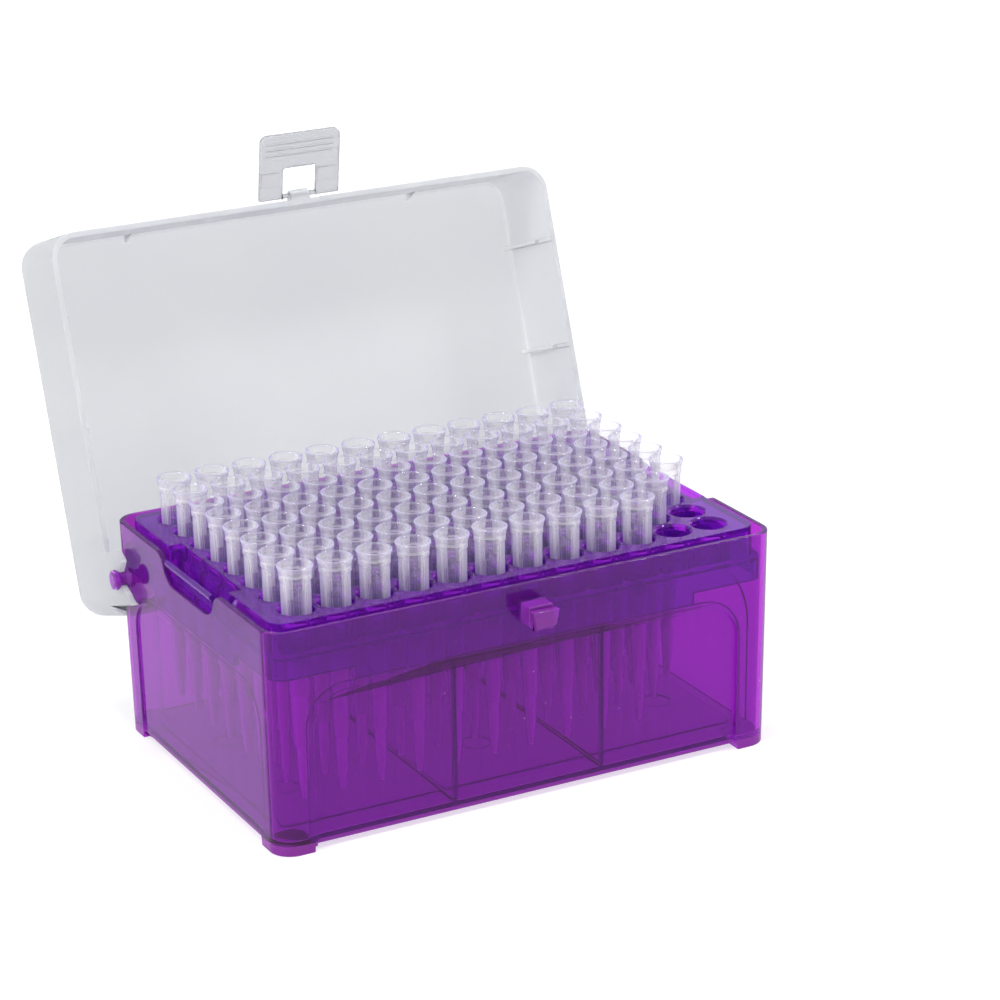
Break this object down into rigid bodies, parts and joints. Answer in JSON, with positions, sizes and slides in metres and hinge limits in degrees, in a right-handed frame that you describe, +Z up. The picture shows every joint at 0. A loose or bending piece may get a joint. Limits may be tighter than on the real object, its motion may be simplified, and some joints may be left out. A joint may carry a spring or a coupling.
{
  "type": "box of pipette tips",
  "caption": "Hinged clear-lidded box with a footed purple base, a drop-in rack of filter tips on a square grid and a front latch.",
  "frame": {"origin": "centre of the flat underside of the base's floor, 1.3 mm above the table the four feet stand on", "axes": "+Z up, +X along the long side to the right as seen from the latch side, +Y towards the hinge; the lid is open"},
  "size_m": [0.129, 0.135, 0.1248],
  "materials": {
    "purple_plastic": "translucent, lightly textured",
    "rack_plastic": "translucent, smooth",
    "lid_plastic": "frosted, translucent",
    "latch_plastic": "clear",
    "tip_plastic": "clear",
    "filter_white": "porous, matt"
  },
  "bodies": {
    "box": {"base": "purple_plastic", "tip_rack": "rack_plastic", "tips_column_01": "tip_plastic", "tips_column_02": "tip_plastic", "tips_column_03": "tip_plastic", "tips_column_04": "tip_plastic", "tips_column_05": "tip_plastic", "tips_column_06": "tip_plastic", "tips_column_07": "tip_plastic", "tips_column_08": "tip_plastic", "tips_column_09": "tip_plastic", "tips_column_10": "tip_plastic", "tips_column_11": "tip_plastic", "tips_column_12": "tip_plastic", "filters_column_01": "filter_white", "filters_column_02": "filter_white", "filters_column_03": "filter_white", "filters_column_04": "filter_white", "filters_column_05": "filter_white", "filters_column_06": "filter_white", "filters_column_07": "filter_white", "filters_column_08": "filter_white", "filters_column_09": "filter_white", "filters_column_10": "filter_white", "filters_column_11": "filter_white", "filters_column_12": "filter_white"},
    "lid": {"lid": "lid_plastic"},
    "latch": {"latch": "latch_plastic"}
  },
  "joints": [
    {"name": "lid_hinge", "type": "hinge", "parent": "box", "child": "lid", "pos_m": [0, 0.034, 0.0368], "axis": [1, 0, 0], "range_deg": [0, 109]},
    {"name": "latch_hinge", "type": "hinge", "parent": "lid", "child": "latch", "pos_m": [0, 0.0687, 0.10824], "axis": [1, 0, 0], "range_deg": [-110, 62.5]}
  ]
}
